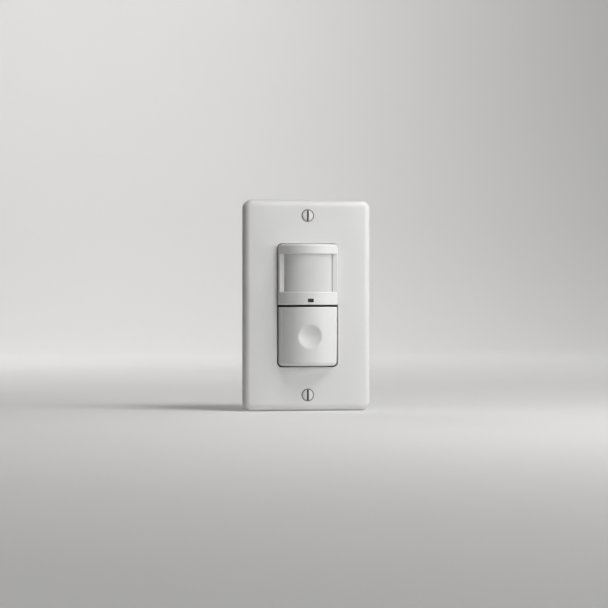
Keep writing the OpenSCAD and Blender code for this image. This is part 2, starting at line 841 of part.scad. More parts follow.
// Metal strap with its window, tapped holes, box screw slots and break-off ears.
module mounting_strap() {
  corner = 3;
  color("lightsteelblue") facing() linear_extrude(strap_t) difference() {
    union() {
      rounded(strap_w, strap_mid_h, corner);
      rounded(strap_end_w, strap_l, corner);
    }
    rounded(strap_window_w, strap_window_h, corner / 2);
    at_corners(column_x, column_y) circle(boss_r + boss_gap);
    above_and_below(plate_screw_y) circle(screw_r + pilot_fit);
    above_and_below(box_screw_y) long_hole(box_slot_l, box_slot_r);
    translate([ground_x, ground_y]) circle(screw_r + pilot_fit);
    at_corners(ear_hole_x, ear_hole_y) circle(ear_hole_r);
  }
}

// Round-head machine screw from z = 0 down, with a neck where it passes the strap and a slotted head.
module round_head_screw(head_r, neck_r, l) {
  difference() {
    union() {
      translate([0, 0, -l]) cylinder(h = l, r = neck_r);
      translate([0, 0, -l]) cylinder(h = l - strap_t, r = screw_r);
      rotate_extrude() edge_section(head_r, head_h, head_edge);
    }
    translate([0, 0, head_h / 2]) block([2 * head_r + cut, slot_w, head_h]);
  }
}

module box_screws() {
  color("silver") facing() above_and_below(box_screw_y) translate([0, 0, strap_t])
    round_head_screw(box_head_r, screw_neck_r, box_screw_l);
}

// Fibre keepers that fill the strap's slots round the box screws.
module screw_retainers() {
  color("peru") facing() above_and_below(box_screw_y) translate([0, 0, retainer_sink])
    linear_extrude(strap_t - retainer_sink) difference() {
      long_hole(box_slot_l - 2 * retainer_fit, box_slot_r - retainer_fit);
      circle(screw_neck_r + pilot_fit);
    }
}

module ground_screw() {
  color("forestgreen") facing() translate([ground_x, ground_y, strap_t])
    round_head_screw(ground_head_r, screw_r, strap_t - ground_tip_d);
}

// Deep rear cover with screw columns, board ledges, standoffs and wire exits.
module rear_housing() {
  color("darkgray") facing() difference() {
    union() {
      difference() {
        mirror([0, 0, 1]) rolled_block(housing_w, housing_h, housing_depth, housing_corner, housing_edge);
        translate([0, 0, cut]) mirror([0, 0, 1]) rolled_block(
          housing_w - 2 * housing_wall, housing_h - 2 * housing_wall, housing_depth - housing_wall + cut,
          housing_corner - housing_wall, min(housing_edge, housing_corner - housing_wall) / 2
        );
      }
      at_corners(column_x, column_y) translate([0, 0, rear_floor_d - housing_wall / 2])
        cylinder(h = boss_end_d - seat_gap - rear_floor_d + housing_wall / 2, r = column_r);
      both_sides() above_and_below(ledge_y)
        translate([housing_w / 2 - housing_wall - ledge_reach, -ledge_l / 2, board_d - ledge_t])
          cube([ledge_reach + housing_wall / 2, ledge_l, ledge_t]);
      at_corners(standoff_x, standoff_y) translate([0, 0, rear_floor_d - housing_wall / 2]) {
        cylinder(h = rear_board_d - rear_floor_d + housing_wall / 2, r = standoff_r);
        cylinder(h = rear_top_d - rear_floor_d + housing_wall / 2, r = standoff_pin_r);
      }
    }
    at_corners(column_x, column_y) {
      translate([0, 0, -housing_depth - cut]) {
        cylinder(h = housing_depth + cut, r = housing_screw_r + head_fit);
        cylinder(
          h = housing_depth + cut + housing_screw_seat_d, r = housing_screw_head_r + housing_screw_head_fit
        );
      }
    }
    lead_row() translate([0, 0, -housing_depth - cut]) cylinder(h = housing_wall + 2 * cut, r = lead_r);
  }
}

// Four screws from the back of the housing into the bezel bosses.
module housing_screws() {
  l = strap_t - flange_t - housing_screw_seat_d;
  color("silver") facing() at_corners(column_x, column_y)
    translate([0, 0, housing_screw_seat_d]) difference() {
      union() {
        cylinder(h = l, r = housing_screw_r);
        translate([0, 0, -housing_screw_head_h])
          cylinder(h = housing_screw_head_h, r = housing_screw_head_r);
      }
      translate([0, 0, -housing_screw_head_h - cut]) {
        block([cross_l, cross_w, cut + housing_screw_head_h / 2]);
        block([cross_w, cross_l, cut + housing_screw_head_h / 2]);
      }
    }
}

// Places of the wire lead exits in a row.
module lead_row() {
  for (i = [0 : lead_count - 1]) translate([(i - (lead_count - 1) / 2) * lead_pitch, lead_y, 0]) children();
}

// Grip block inside the housing that the wire leads would pass through.
module lead_bush() {
  size = [(lead_count - 1) * lead_pitch + 2 * (lead_r + bush_wall), 2 * (lead_r + bush_wall), bush_t];
  color("black") facing() difference() {
    translate([0, lead_y, rear_floor_d]) block(size);
    lead_row() translate([0, 0, rear_floor_d - cut]) cylinder(h = bush_t + 2 * cut, r = lead_r);
  }
}

wall_plate();
plate_screws();
sensor_bezel();
fresnel_lens();
lens_retainer();
status_window();
push_button();
tact_switch();
tact_plunger();
time_trimmer_base();
time_dial();
light_trimmer_base();
light_dial();
sensor_board();
pir_spacer();
pir_sensor();
pir_window();
status_led();
photocell();
controller_chip();
power_board();
relay();
reservoir_capacitor();
film_capacitor();
varistor();
fusible_resistor();
board_header();
mounting_strap();
box_screws();
screw_retainers();
ground_screw();
rear_housing();
housing_screws();
lead_bush();
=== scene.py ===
import json
import math

import bmesh
import bpy
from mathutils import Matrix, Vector


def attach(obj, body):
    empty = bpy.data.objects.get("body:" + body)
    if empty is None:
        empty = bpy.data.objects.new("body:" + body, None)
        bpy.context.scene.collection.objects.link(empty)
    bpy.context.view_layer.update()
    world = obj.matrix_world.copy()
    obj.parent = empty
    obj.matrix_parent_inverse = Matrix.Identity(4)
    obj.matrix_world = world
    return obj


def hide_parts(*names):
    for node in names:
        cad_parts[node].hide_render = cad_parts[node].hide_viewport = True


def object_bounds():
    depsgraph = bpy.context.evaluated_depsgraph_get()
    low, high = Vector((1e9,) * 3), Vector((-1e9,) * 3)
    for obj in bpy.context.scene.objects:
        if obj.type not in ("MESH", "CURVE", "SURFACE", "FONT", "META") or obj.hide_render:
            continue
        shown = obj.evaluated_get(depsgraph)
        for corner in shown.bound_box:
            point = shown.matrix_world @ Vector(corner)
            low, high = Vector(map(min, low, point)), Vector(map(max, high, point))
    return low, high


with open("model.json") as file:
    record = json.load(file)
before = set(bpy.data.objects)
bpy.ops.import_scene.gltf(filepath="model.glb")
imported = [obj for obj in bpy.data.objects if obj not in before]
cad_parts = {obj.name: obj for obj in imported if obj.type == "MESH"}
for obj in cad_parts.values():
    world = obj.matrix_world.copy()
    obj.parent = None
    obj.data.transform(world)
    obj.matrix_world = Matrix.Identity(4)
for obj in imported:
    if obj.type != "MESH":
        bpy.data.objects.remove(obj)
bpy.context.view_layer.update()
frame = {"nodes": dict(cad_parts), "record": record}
nodes = frame["nodes"]
node_body = {n: b for b, names in frame["record"]["behaviour"]["bodies"].items() for n in names}
node_slot = {s["node"]: s["material_slot"] for s in frame["record"]["subparts"]}
MM = 0.001

# Sizes are in millimetres, and D is a depth from the wall plane towards the room.

# Cover plate
PLATE_HALF_W = 34.925
PLATE_T = 5.6
PLATE_BACK = 3.5
PLATE_ROLL = 4.2
PLATE_FALL = 0.9
PLATE_FALL_IN = 15.0
PLATE_FALL_CUTS = 10
OPENING_REACH_X = 17
OPENING_REACH_Z = 34
OPENING_EDGE = 0.3

# Front body
FRONT_R = 21.0
CROWN_D = 15.1
BEZEL_HALF_W = 16.25
POST_D = 8.0
GAP_FLOOR_D = 4.0

# Lens
LENS_R = 16.0
LENS_CROWN_D = 14.3
LENS_HALF_W = 13.2
LENS_MID_Z = 17.4
# Where the painted shade along the lens's side edges begins, and where it reaches full strength
LENS_RIM_IN = 12.8
LENS_RIM_OUT = 13.05
LENS_CELLS = 10
LENS_CELL_W = 3.0
LENS_RING_PITCH = 0.45
LENS_LEAN = 1.0

# Push pad
BUTTON_CROWN_D = 14.7
BUTTON_LEAN = math.radians(2)
BUTTON_TOP = -0.9
BUTTON_LOW = -32.7
BUTTON_HALF_W = 15.95
BUTTON_CORNER = 2.2
SKIRT_D = 4.4
PAD_SHELL = 0.1
PAD_CORE_GAP = 0.2
LOW_FILLET = 2.2
TOP_FILLET = 0.6
SIDE_FILLET = 0.7
DIMPLE_DROP = 15.8
DIMPLE_R = 6.35
DIMPLE_DEPTH = 1.9
DIMPLE_LIP = 0.16
PAD_COLUMNS = 110
PAD_ROWS = 120
PAD_TIGHT = 0.9

# Plate screws, box screws and their threads
SCREW_Z = 48.42
SCREW_HEAD_R = 3.4
SCREW_GROOVE = 0.5
HEAD_RIM_D = 1.0
HEAD_RIM_W = 0.3
HEAD_EDGE = 0.16
SLOT_HALF_W = 0.45
SLOT_REACH_D = 1.5
BARE_SHANK_D = 4.5
BARE_SHANK_R = 1.6
PLATE_SHANK_D = 4.0
PLATE_THREAD_D = 0.6
PLATE_TIP_D = -6.0
BOX_SCREW_Z = 41.67
BOX_SHANK_D = 0.05
BOX_THREAD_D = -0.2
BOX_TIP_D = -23.7
SCREW_R = 1.75
THREAD_ROOT_R = 1.42
THREAD_SINK = 0.05
THREAD_PITCH = 0.79
THREAD_STEPS = 28

# Folds over this angle, in degrees, count as square edges
SQUARE_EDGE = 50.0

# Stage and camera, in metres, with the lens in millimetres
FLOOR_HALF_W = 7.0
FLOOR_FRONT_Y = -6.0
SWEEP_Y = 1.2
SWEEP_R = 0.8
SWEEP_STEPS = 24
BACKDROP_TOP = 5.0
GLOW_START_Y = 0.04
GLOW_FULL_Y = 0.5
GLOW_FADE_Y = 0.8
GLOW_END_Y = 1.7
CAMERA_AIM = (-0.00105, 0.0, 0.0007)
CAMERA_TURN = math.radians(-10)
CAMERA_DISTANCE = 1.1
CAMERA_LENS = 120

# Strengths of the world, and of the paper where it is seen
WORLD_LIGHT = 0.005
WORLD_SEEN = 0.45
PAPER_GLOW = 0.12
FAR_GLOW = 0.26


# Materials


def ramp(tree, source, low, high, to_low, to_high):
    """A socket that maps source from low..high to to_low..to_high."""
    node = tree.nodes.new("ShaderNodeMapRange")
    node.inputs["From Min"].default_value = low
    node.inputs["From Max"].default_value = high
    node.inputs["To Min"].default_value = to_low
    node.inputs["To Max"].default_value = to_high
    tree.links.new(source, node.inputs["Value"])
    return node.outputs["Result"]


def noise(tree, scale, detail=2.0, stretch=(1, 1, 1), rough=0.5):
    """A noise socket in the object's own metres."""
    coords = tree.nodes.new("ShaderNodeTexCoord")
    mapping = tree.nodes.new("ShaderNodeMapping")
    mapping.inputs["Scale"].default_value = stretch
    tree.links.new(coords.outputs["Object"], mapping.inputs["Vector"])
    node = tree.nodes.new("ShaderNodeTexNoise")
    node.inputs["Scale"].default_value = scale
    node.inputs["Detail"].default_value = detail
    node.inputs["Roughness"].default_value = rough
    tree.links.new(mapping.outputs["Vector"], node.inputs["Vector"])
    return node.outputs["Fac"]


def blend_colour(tree, fac, a, b):
    """A colour socket between a and b."""
    node = tree.nodes.new("ShaderNodeMix")
    node.data_type = "RGBA"
    node.inputs[6].default_value = (*a, 1)
    node.inputs[7].default_value = (*b, 1)
    tree.links.new(fac, node.inputs[0])
    return node.outputs[2]


def bump(tree, height, strength, depth_mm, under=None):
    """A normal socket raised by height, over the normal given as under."""
    node = tree.nodes.new("ShaderNodeBump")
    node.inputs["Strength"].default_value = strength
    node.inputs["Distance"].default_value = depth_mm * MM
    tree.links.new(height, node.inputs["Height"])
    if under is not None:
        tree.links.new(under, node.inputs["Normal"])
    return node.outputs["Normal"]


def tinted(colour, factor):
    """The colour made lighter or darker."""
    return tuple(min(1.0, c * factor) for c in colour)


def surface(
    name, colour, spread=0.04, rough=(0.38, 0.48), metallic=0.0, cloud=55.0, grain=1900.0, grain_mm=0.015,
    grain_strength=0.25, stretch=(1, 1, 1), edge=1.06, sockets=None,
):
    """Procedural finish: cloudy colour, worn edges, uneven gloss and a fine moulded or rolled grain."""
    mat = bpy.data.materials.new(name)
    mat.use_nodes = True
    tree = mat.node_tree
    shader = tree.nodes["Principled BSDF"]
    clouds = noise(tree, cloud, 3.0)
    cloudy = ramp(tree, clouds, 0.3, 0.7, 0, 1)
    base = blend_colour(tree, cloudy, tinted(colour, 1 - spread), tinted(colour, 1 + spread))
    geometry = tree.nodes.new("ShaderNodeNewGeometry")
    worn = ramp(tree, geometry.outputs["Pointiness"], 0.52, 0.6, 0, 1)
    mix = tree.nodes.new("ShaderNodeMix")
    mix.data_type = "RGBA"
    mix.inputs[7].default_value = (*tinted(colour, edge), 1)
    tree.links.new(base, mix.inputs[6])
    tree.links.new(worn, mix.inputs[0])
    tree.links.new(mix.outputs[2], shader.inputs["Base Color"])
    fine = noise(tree, grain, 2.0, stretch)
    patches = noise(tree, cloud * 4, 4.0, stretch)
    tree.links.new(ramp(tree, patches, 0.3, 0.7, rough[0], rough[1]), shader.inputs["Roughness"])
    tree.links.new(bump(tree, fine, grain_strength, grain_mm), shader.inputs["Normal"])
    shader.inputs["Metallic"].default_value = metallic
    for key, value in (sockets or {}).items():
        shader.inputs[key].default_value = value
    return mat


def lens_surface(colour):
    """Milky moulded sheet: soft light inside, faint upright seams, fine ring grooves in each segment and
    painted shade along its side edges where it meets the posts.
    """
    mat = bpy.data.materials.new("lens_plastic")
    mat.use_nodes = True
    tree = mat.node_tree
    shader = tree.nodes["Principled BSDF"]
    coords = tree.nodes.new("ShaderNodeTexCoord")
    split = tree.nodes.new("ShaderNodeSeparateXYZ")
    tree.links.new(coords.outputs["Object"], split.inputs["Vector"])

    def calc(kind, a, b=None):
        node = tree.nodes.new("ShaderNodeMath")
        node.operation = kind
        for socket, value in zip(node.inputs, (a, b)):
            if value is None:
                continue
            if isinstance(value, (int, float)):
                socket.default_value = value
            else:
                tree.links.new(value, socket)
        return node.outputs[0]

    depth = calc("ADD", calc("MULTIPLY", split.outputs["Y"], -1.0), (LENS_R - LENS_CROWN_D) * MM)
    turn = calc("ARCTAN2", split.outputs["X"], depth)
    step = 2 * math.asin(LENS_HALF_W / LENS_R) / LENS_CELLS
    cell = calc("FRACT", calc("ADD", calc("DIVIDE", turn, step), LENS_CELLS + 0.5))
    off = calc("ABSOLUTE", calc("SUBTRACT", cell, 0.5))
    seam = ramp(tree, off, 0.46, 0.5, 0, 1)
    rise = calc("SUBTRACT", split.outputs["Z"], LENS_MID_Z * MM)
    across = calc("MULTIPLY", calc("SUBTRACT", cell, 0.5), LENS_CELL_W * MM)
    ring = calc("SQRT", calc("ADD", calc("MULTIPLY", across, across), calc("MULTIPLY", rise, rise)))
    wave = calc("SINE", calc("MULTIPLY", ring, 2 * math.pi / (LENS_RING_PITCH * MM)))
    clouds = noise(tree, 70.0, 3.0)
    cloudy = ramp(tree, clouds, 0.3, 0.7, 0, 1)
    base = blend_colour(tree, cloudy, tinted(colour, 0.97), tinted(colour, 1.02))
    mix = tree.nodes.new("ShaderNodeMix")
    mix.data_type = "RGBA"
    mix.inputs[7].default_value = (*tinted(colour, 0.93), 1)
    tree.links.new(base, mix.inputs[6])
    tree.links.new(ramp(tree, seam, 0, 1, 0, 0.5), mix.inputs[0])
    # Painted shade: the colour darkens towards the lens's side edges, standing in for the shadow gap beside
    # the posts
    side = ramp(tree, calc("ABSOLUTE", split.outputs["X"]), LENS_RIM_IN * MM, LENS_RIM_OUT * MM, 0, 0.75)
    rim_shade = tree.nodes.new("ShaderNodeMix")
    rim_shade.data_type = "RGBA"
    rim_shade.inputs[7].default_value = (*tinted(colour, 0.3), 1)
    tree.links.new(mix.outputs[2], rim_shade.inputs[6])
    tree.links.new(side, rim_shade.inputs[0])
    tree.links.new(rim_shade.outputs[2], shader.inputs["Base Color"])
    tree.links.new(ramp(tree, noise(tree, 300.0, 3.0), 0.3, 0.7, 0.42, 0.54), shader.inputs["Roughness"])
    geometry = tree.nodes.new("ShaderNodeNewGeometry")
    lean = tree.nodes.new("ShaderNodeVectorMath")
    lean.operation = "ADD"
    lean.inputs[1].default_value = (0.0, -LENS_LEAN, 0.0)
    tree.links.new(geometry.outputs["Normal"], lean.inputs[0])
    level = tree.nodes.new("ShaderNodeVectorMath")
    level.operation = "NORMALIZE"
    tree.links.new(lean.outputs[0], level.inputs[0])
    grooves = bump(tree, wave, 0.03, 0.01, level.outputs[0])
    tree.links.new(bump(tree, seam, 0.12, 0.03, grooves), shader.inputs["Normal"])
    shader.inputs["Subsurface Weight"].default_value = 0.25
    shader.inputs["Subsurface Radius"].default_value = (1.0, 1.0, 1.0)
    shader.inputs["Subsurface Scale"].default_value = 0.0006
    shader.inputs["Specular IOR Level"].default_value = 0.4
    shader.inputs["Sheen Weight"].default_value = 0.3
    shader.inputs["Sheen Roughness"].default_value = 0.6
    return mat


finishes = {
    "plate_plastic": surface("plate_plastic", (0.80, 0.80, 0.79), 0.012, (0.36, 0.46)),
    "front_plastic": surface("front_plastic", (0.80, 0.80, 0.795), 0.012, (0.38, 0.48)),
    "lens_plastic": lens_surface((0.74, 0.74, 0.735)),
    "smoked_plastic": surface(
        "smoked_plastic", (0.012, 0.012, 0.013), 0.2, (0.1, 0.18), grain_strength=0.05,
    ),
    "inner_plastic": surface("inner_plastic", (0.72, 0.71, 0.68), 0.03, (0.45, 0.58)),
    "black_plastic": surface("black_plastic", (0.02, 0.02, 0.021), 0.2, (0.42, 0.6), grain_mm=0.03),
    "blue_plastic": surface("blue_plastic", (0.03, 0.09, 0.38), 0.08, (0.38, 0.5)),
    "lamp_plastic": surface(
        "lamp_plastic", (0.16, 0.5, 0.14), 0.05, (0.12, 0.2), sockets={"Transmission Weight": 0.35},
    ),
    "circuit_board": surface("circuit_board", (0.012, 0.10, 0.045), 0.2, (0.28, 0.45), cloud=220.0),
    "sensor_can": surface("sensor_can", (0.62, 0.62, 0.63), 0.05, (0.22, 0.36), 1.0, grain_mm=0.006),
    "capacitor_can": surface("capacitor_can", (0.012, 0.016, 0.07), 0.1, (0.2, 0.32)),
    "film_plastic": surface("film_plastic", (0.30, 0.03, 0.02), 0.1, (0.3, 0.45)),
    "resistor_body": surface("resistor_body", (0.5, 0.36, 0.2), 0.08, (0.35, 0.5)),
    "painted_screw": surface("painted_screw", (0.80, 0.80, 0.79), 0.02, (0.26, 0.4), grain=900.0, edge=0.9),
    "zinc_steel": surface(
        "zinc_steel", (0.56, 0.58, 0.60), 0.08, (0.3, 0.48), 1.0, cloud=120.0, grain=900.0, grain_mm=0.012,
        stretch=(1, 1, 0.12), edge=1.25,
    ),
    "fibre_sheet": surface(
        "fibre_sheet", (0.24, 0.11, 0.05), 0.2, (0.65, 0.85), cloud=400.0, grain_mm=0.05,
    ),
    "green_screw": surface("green_screw", (0.02, 0.17, 0.05), 0.15, (0.3, 0.45), 0.7, edge=1.5),
    "housing_plastic": surface(
        "housing_plastic", (0.13, 0.135, 0.145), 0.06, (0.45, 0.6), grain=2400.0, grain_mm=0.03,
        grain_strength=0.4, edge=1.0,
    ),
}
# Painted shade for the inside of the driver slots, as dark as the shade in them
slot_shade = surface("slot_shade", (0.045, 0.043, 0.04), 0.3, (0.55, 0.75), cloud=700.0, grain_mm=0.03)
inner_shade = surface("inner_shade", (0.02, 0.02, 0.021), 0.2, (0.6, 0.75))
gap_shade = surface("gap_shade", (0.36, 0.36, 0.356), 0.15, (0.55, 0.7), cloud=500.0)


# Pieces


def finish_piece(obj, node):
    """Puts a piece in the place of a CAD node, with the node's finish and body."""
    obj.data.materials.clear()
    obj.data.materials.append(finishes[node_slot[node]])
    for polygon in obj.data.polygons:
        polygon.use_smooth = True
        polygon.material_index = 0
    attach(obj, node_body[node])
    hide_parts(node)


def weld(bm):
    """Joins points that lie together and drops faces without area."""
    bmesh.ops.remove_doubles(bm, verts=bm.verts, dist=2e-6)
    bmesh.ops.dissolve_degenerate(bm, edges=bm.edges, dist=1e-6)


def node_mesh(node):
    """The CAD node's mesh, welded, with its flat faces whole again."""
    bm = bmesh.new()
    bm.from_mesh(nodes[node].data)
    weld(bm)
    bmesh.ops.dissolve_limit(bm, angle_limit=math.radians(0.3), verts=bm.verts, edges=bm.edges)
    return bm


def as_object(bm, name, sharp=32.0):
    """An object from a mesh, with each fold over the given angle marked as a sharp edge."""
    bm.normal_update()
    for edge in bm.edges:
        edge.smooth = len(edge.link_faces) == 2 and edge.calc_face_angle(0) < math.radians(sharp)
    mesh = bpy.data.meshes.new(name)
    bm.to_mesh(mesh)
    bm.free()
    imported = mesh.attributes.get("custom_normal")
    if imported:
        mesh.attributes.remove(imported)
    obj = bpy.data.objects.new(name, mesh)
    bpy.context.scene.collection.objects.link(obj)
    return obj


def soften(bm, width_mm, angle=28.0, segments=3, where=None):
    """Rounds a mesh's edges over the given angle, where their middle, in millimetres, passes the test."""
    bm.normal_update()
    picked = []
    for edge in bm.edges:
        if len(edge.link_faces) != 2 or edge.calc_face_angle(0) < math.radians(angle):
            continue
        middle = (edge.verts[0].co + edge.verts[1].co) / 2
        if where is None or where(middle / MM):
            picked.append(edge)
    bmesh.ops.bevel(
        bm, geom=picked, offset=width_mm * MM, offset_type="OFFSET", segments=segments, profile=0.5,
        affect="EDGES", clamp_overlap=True, harden_normals=False,
    )


def even_normals(obj):
    """Keeps large flat faces flat beside small rounded edges."""
    weighted = obj.modifiers.new("even_normals", "WEIGHTED_NORMAL")
    weighted.keep_sharp = True


def dress(node, width_mm):
    """A copy of a CAD node, with its edges rounded if a width is given."""
    bm = node_mesh(node)
    if width_mm:
        soften(bm, width_mm, angle=SQUARE_EDGE, segments=2)
    obj = as_object(bm, node + ".skin")
    finish_piece(obj, node)
    even_normals(obj)
    return obj


def paint(obj, mat, where):
    """Gives a second finish to the faces whose middle, in millimetres, passes the test."""
    obj.data.materials.append(mat)
    last = len(obj.data.materials) - 1
    for polygon in obj.data.polygons:
        if where(polygon.center / MM, polygon.normal):
            polygon.material_index = last


def plate_face():
    """The cover plate with a soft opening edge and a face that falls gently towards its rolled edge."""
    bm = node_mesh("wall_plate")

    def at_opening(m):
        return -m.y > PLATE_T - 0.05 and abs(m.x) < OPENING_REACH_X and abs(m.z) < OPENING_REACH_Z

    soften(bm, OPENING_EDGE, where=at_opening)
    for i in range(PLATE_FALL_CUTS):
        inward = PLATE_ROLL + (PLATE_FALL_IN - PLATE_ROLL) * (i / (PLATE_FALL_CUTS - 1)) ** 1.3
        for side in (-1, 1):
            bmesh.ops.bisect_plane(
                bm, geom=bm.verts[:] + bm.edges[:] + bm.faces[:],
                plane_co=(side * (PLATE_HALF_W - inward) * MM, 0, 0), plane_no=(1, 0, 0), dist=1e-7,
            )
    for v in bm.verts:
        d = -v.co.y / MM
        t = 1 - max(PLATE_HALF_W - abs(v.co.x) / MM, PLATE_ROLL) / PLATE_FALL_IN
        if d > PLATE_BACK and t > 0:
            v.co.y += PLATE_FALL * t * t * min(1.0, (d - PLATE_BACK) / (PLATE_T - PLATE_BACK)) * MM
    obj = as_object(bm, "wall_plate.face")
    finish_piece(obj, "wall_plate")
    even_normals(obj)
    return obj


def screw_reach(m):
    """Distance from the axis of the nearer plate screw, in millimetres."""
    return math.hypot(m.x, abs(m.z) - SCREW_Z)


def plate_screws():
    """Oval screw heads with soft rims, each drawn in a little so that a groove shows around it."""
    bm = node_mesh("plate_screws")
    for v in bm.verts:
        m = v.co / MM
        reach = screw_reach(m)
        if -m.y > PLATE_T - HEAD_RIM_D and reach > SCREW_HEAD_R - HEAD_RIM_W:
            shrink = 1 - SCREW_GROOVE / reach
            v.co.z = math.copysign(SCREW_Z + (abs(m.z) - SCREW_Z) * shrink, m.z) * MM
            if abs(m.x) > SLOT_HALF_W + 0.15:
                v.co.x *= shrink
    spots = ((0, -SCREW_Z), (0, SCREW_Z))
    slim_shank(bm, spots, PLATE_SHANK_D)
    ridges = thread("plate_screws.thread", "plate_screws", spots, PLATE_TIP_D, PLATE_THREAD_D)
    ridges.data.materials[0] = finishes["zinc_steel"]

    def at_rim(m):
        return -m.y > PLATE_T - 0.3 and abs(screw_reach(m) - SCREW_HEAD_R + SCREW_GROOVE) < 0.1

    soften(bm, HEAD_EDGE, where=at_rim)
    obj = as_object(bm, "plate_screws.heads")
    finish_piece(obj, "plate_screws")
    even_normals(obj)
    return obj


def thread(name, node, spots, low_d, high_d):
    """Helical ridges on a node's screw shanks, which run along D at each spot."""
    bm = bmesh.new()
    root = THREAD_ROOT_R - THREAD_SINK
    foot, crest = 0.46, 0.1  # half widths of the ridge, as shares of the pitch
    profile = ((-foot, root), (-crest, SCREW_R), (crest, SCREW_R), (foot, root))
    count = int((high_d - low_d - THREAD_PITCH) / THREAD_PITCH * THREAD_STEPS)
    for x, z in spots:
        rings = []
        for i in range(count + 1):
            turn = 2 * math.pi * i / THREAD_STEPS
            d = low_d + THREAD_PITCH / 2 + THREAD_PITCH * i / THREAD_STEPS
            ease = min(1.0, i / THREAD_STEPS, (count - i) / THREAD_STEPS)
            ring = []
            for along, reach in profile:
                r = root + (reach - root) * ease
                place = (x + r * math.cos(turn), -d - along * THREAD_PITCH, z + r * math.sin(turn))
                ring.append(bm.verts.new(Vector(place) * MM))
            rings.append(ring)
        for a, b in zip(rings, rings[1:]):
            for j in range(4):
                k = (j + 1) % 4
                bm.faces.new((a[j], a[k], b[k], b[j]))
        bm.faces.new(rings[0][::-1])
        bm.faces.new(rings[-1])
    bmesh.ops.recalc_face_normals(bm, faces=bm.faces)
    obj = as_object(bm, name, 40.0)
    finish_piece(obj, node)
    return obj


def slim_shank(bm, spots, below_d):
    """Draws a screw's shank in to the root of its thread, below the given depth."""
    for v in bm.verts:
        m = v.co / MM
        x, z = min(spots, key=lambda s: math.hypot(m.x - s[0], m.z - s[1]))
        reach = math.hypot(m.x - x, m.z - z)
        if -m.y < below_d and reach > THREAD_ROOT_R:
            v.co.x = (x + (m.x - x) * THREAD_ROOT_R / reach) * MM
            v.co.z = (z + (m.z - z) * THREAD_ROOT_R / reach) * MM
    weld(bm)


def box_screws():
    """Long threaded screws for the wall box."""
    spots = ((0, -BOX_SCREW_Z), (0, BOX_SCREW_Z))
    bm = node_mesh("box_screws")
    slim_shank(bm, spots, BOX_SHANK_D)
    obj = as_object(bm, "box_screws.shank")
    finish_piece(obj, "box_screws")
    even_normals(obj)
    thread("box_screws.thread", "box_screws", spots, BOX_TIP_D, BOX_THREAD_D)


def bezel_skin():
    """The front body, with the outer edges of its lens posts cut back to the brow's curve."""
    bm = node_mesh("sensor_bezel")
    bm.normal_update()
    edge_d = CROWN_D - FRONT_R + math.sqrt(FRONT_R ** 2 - BEZEL_HALF_W ** 2)
    cut_x = math.sqrt(FRONT_R ** 2 - (FRONT_R - CROWN_D + POST_D) ** 2)

    def post_front(f):
        return f.normal.y < -0.99 and abs(f.calc_center_median().y / MM + POST_D) < 0.01

    for side in (-1, 1):
        posts = [f for f in bm.faces if post_front(f)]
        around = {v for f in posts for v in f.verts} | {e for f in posts for e in f.edges}
        bmesh.ops.bisect_plane(
            bm, geom=posts + list(around),
            plane_co=(side * cut_x * MM, 0, 0), plane_no=(1, 0, 0), dist=2e-5,
        )
    for v in bm.verts:
        if abs(v.co.y / MM + POST_D) < 0.01 and abs(abs(v.co.x) / MM - BEZEL_HALF_W) < 0.01:
            v.co.y = -edge_d * MM
    weld(bm)
    obj = as_object(bm, "sensor_bezel.skin")
    finish_piece(obj, "sensor_bezel")
    even_normals(obj)
    return obj


def countersink(m, n):
    """The sloped seats of the plate screws."""
    return 0.2 < abs(n.y) < 0.95 and screw_reach(m) < SCREW_HEAD_R + 0.2


def bare_shank(m, n):
    """The plate screws below their painted heads."""
    return -m.y < BARE_SHANK_D and screw_reach(m) < BARE_SHANK_R


def slot_wall(m, n):
    """The walls and the floor of the driver slots, which get a dark painted shade."""
    in_slot = abs(m.x) < SLOT_HALF_W + 0.05 and -m.y > PLATE_T - SLOT_REACH_D
    return in_slot and (abs(n.x) > 0.9 or abs(m.x) < SLOT_HALF_W - 0.01)


def gap_floor(m, n):
    """The parts of the front body at the bottom of its gaps."""
    return -m.y < GAP_FLOOR_D and n.y < -0.5


box_screws()
plate = plate_face()
paint(plate, gap_shade, countersink)
screws = plate_screws()
paint(screws, finishes["zinc_steel"], bare_shank)
# Painted shade on the walls and floor of the driver slots
paint(screws, slot_shade, slot_wall)
bezel = bezel_skin()
paint(bezel, inner_shade, gap_floor)
shaped = ("wall_plate", "plate_screws", "sensor_bezel", "push_button", "box_screws")
edge_width = {"rear_housing": 0.35, "mounting_strap": 0.14, "screw_retainers": 0.1, "lead_bush": 0.15}
for node_name in nodes:
    if node_name not in shaped:
        dress(node_name, edge_width.get(node_name, 0))


def pad_half_width(y, inset=0.0):
    """Half width of the push pad at height y, with its round lower corners, or of a shape inset from it."""
    up, half, corner = y - BUTTON_LOW - inset, BUTTON_HALF_W - inset, BUTTON_CORNER - inset
    if up >= corner:
        return half
    return half - corner + math.sqrt(max(0.0, corner ** 2 - (corner - up) ** 2))


def round_drop(distance, radius):
    """How far a quarter-round edge has dropped at this distance from the edge."""
    if distance >= radius:
        return 0.0
    return radius - math.sqrt(max(0.0, radius ** 2 - (radius - distance) ** 2))


def dimple_drop(reach):
    """Depth of the dished dimple at this share of its radius, with a soft lip."""
    bowl = DIMPLE_DEPTH * (1 - reach * reach)
    if bowl > DIMPLE_LIP:
        return bowl
    if bowl < -DIMPLE_LIP:
        return 0.0
    return (bowl + DIMPLE_LIP) ** 2 / (4 * DIMPLE_LIP)


